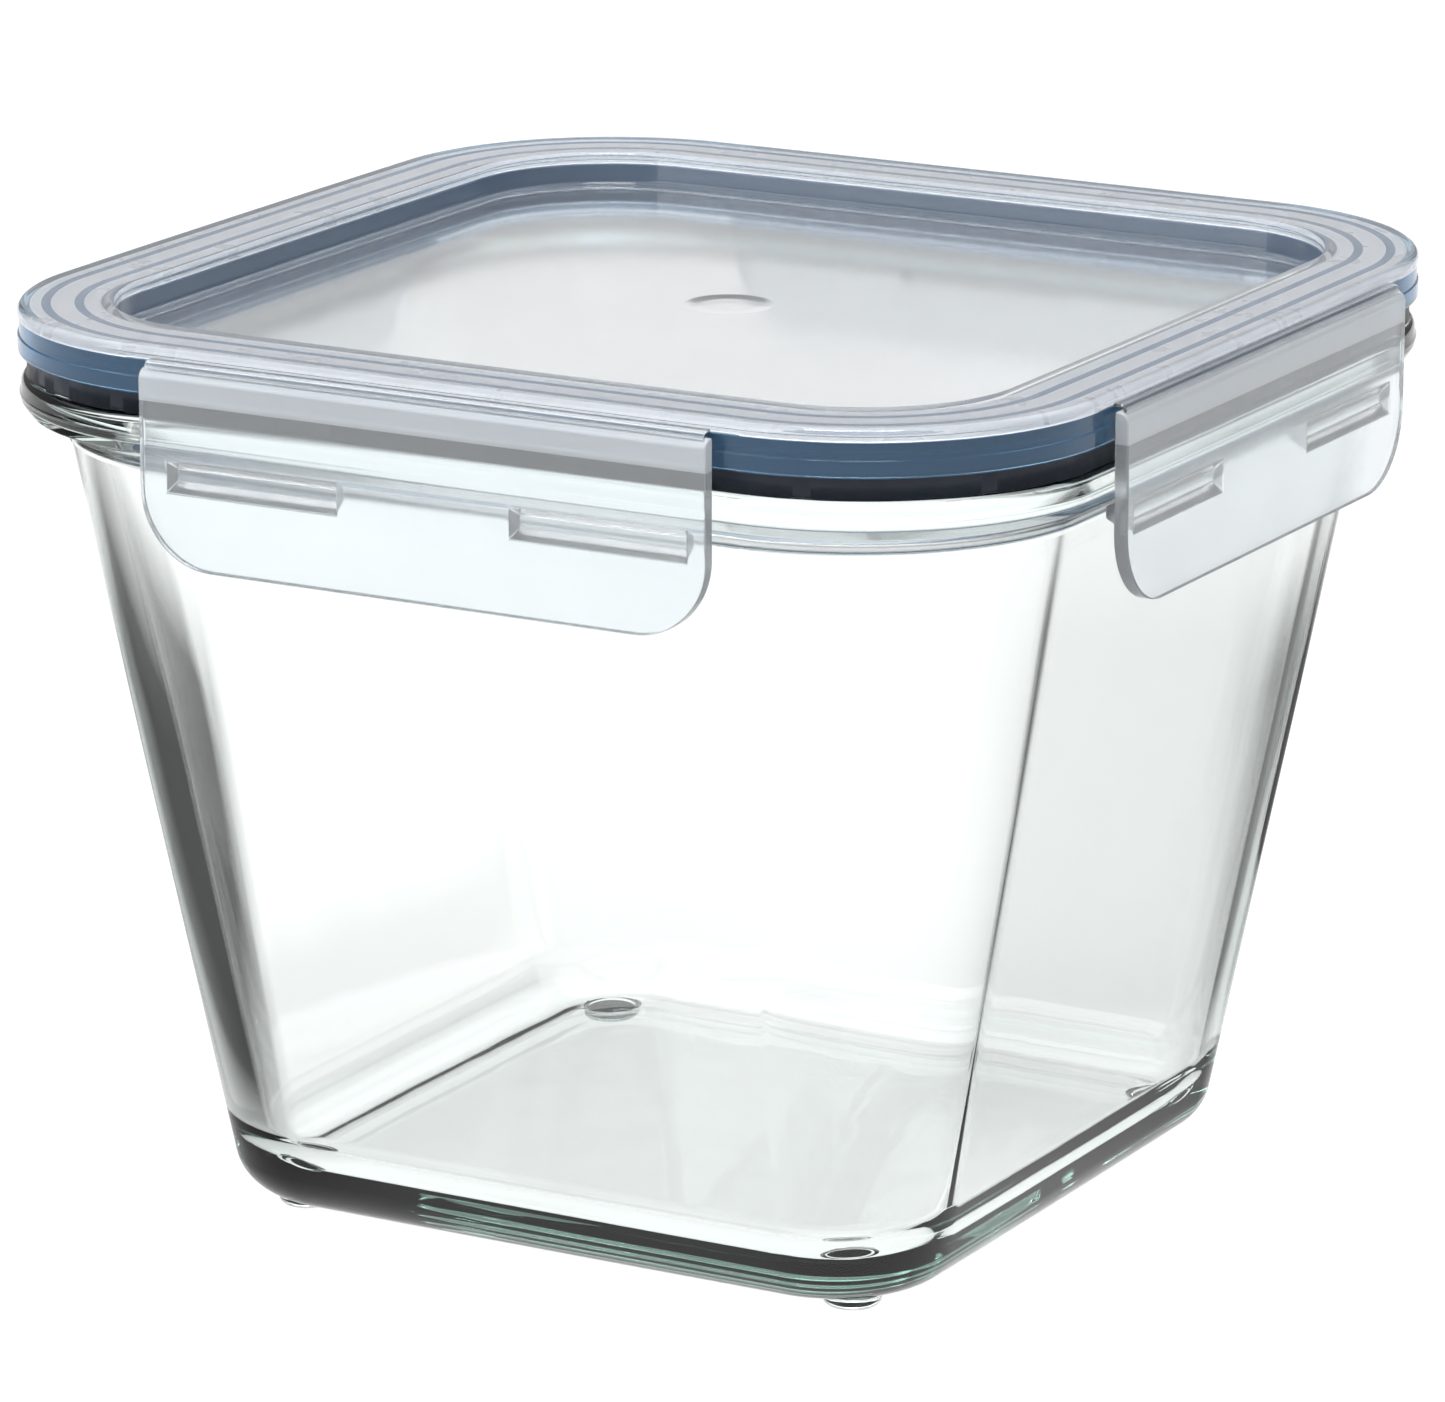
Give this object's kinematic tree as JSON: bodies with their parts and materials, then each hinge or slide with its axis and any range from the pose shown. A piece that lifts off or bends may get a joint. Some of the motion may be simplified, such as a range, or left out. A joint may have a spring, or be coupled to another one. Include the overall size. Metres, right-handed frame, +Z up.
{
  "type": "glass storage container",
  "caption": "Square tapered clear glass food container with a clip-on translucent lid, snap flaps on hinge films and a dark silicone seal.",
  "frame": {"origin": "centre of the underside, on the plane the four feet stand on", "axes": "+Z up through the mouth; -Y out of the front flap, +X out of the right flap"},
  "size_m": [0.1546, 0.1546, 0.121],
  "materials": {
    "clear_glass": "polished",
    "lid_plastic": "satin translucent",
    "flap_plastic": "satin translucent",
    "seal_silicone": "satin"
  },
  "bodies": {
    "container": {"glass_container": "clear_glass"},
    "lid": {"lid_shell": "lid_plastic", "seal_ring": "seal_silicone", "hinge_front": "flap_plastic", "hinge_right": "flap_plastic", "hinge_back": "flap_plastic", "hinge_left": "flap_plastic"},
    "flap_front": {"flap_front": "flap_plastic", "catch_front_a": "flap_plastic", "catch_front_b": "flap_plastic"},
    "flap_right": {"flap_right": "flap_plastic", "catch_right_a": "flap_plastic", "catch_right_b": "flap_plastic"},
    "flap_back": {"flap_back": "flap_plastic", "catch_back_a": "flap_plastic", "catch_back_b": "flap_plastic"},
    "flap_left": {"flap_left": "flap_plastic", "catch_left_a": "flap_plastic", "catch_left_b": "flap_plastic"}
  },
  "joints": [
    {"name": "lid_lift", "type": "slide", "parent": "container", "child": "lid", "axis": [0, 0, 1], "range_m": [0, 0.06], "deforming": ["catch_front_a", "catch_front_b", "catch_right_a", "catch_right_b", "catch_back_a", "catch_back_b", "catch_left_a", "catch_left_b"]},
    {"name": "flap_front_hinge", "type": "hinge", "parent": "lid", "child": "flap_front", "pos_m": [0, -0.07615, 0.1195], "axis": [-1, 0, 0], "range_deg": [0, 150], "deforming": ["hinge_front"]},
    {"name": "flap_right_hinge", "type": "hinge", "parent": "lid", "child": "flap_right", "pos_m": [0.07615, 0, 0.1195], "axis": [0, -1, 0], "range_deg": [0, 150], "deforming": ["hinge_right"]},
    {"name": "flap_back_hinge", "type": "hinge", "parent": "lid", "child": "flap_back", "pos_m": [0, 0.07615, 0.1195], "axis": [1, 0, 0], "range_deg": [0, 150], "deforming": ["hinge_back"]},
    {"name": "flap_left_hinge", "type": "hinge", "parent": "lid", "child": "flap_left", "pos_m": [-0.07615, 0, 0.1195], "axis": [0, 1, 0], "range_deg": [0, 150], "deforming": ["hinge_left"]}
  ]
}
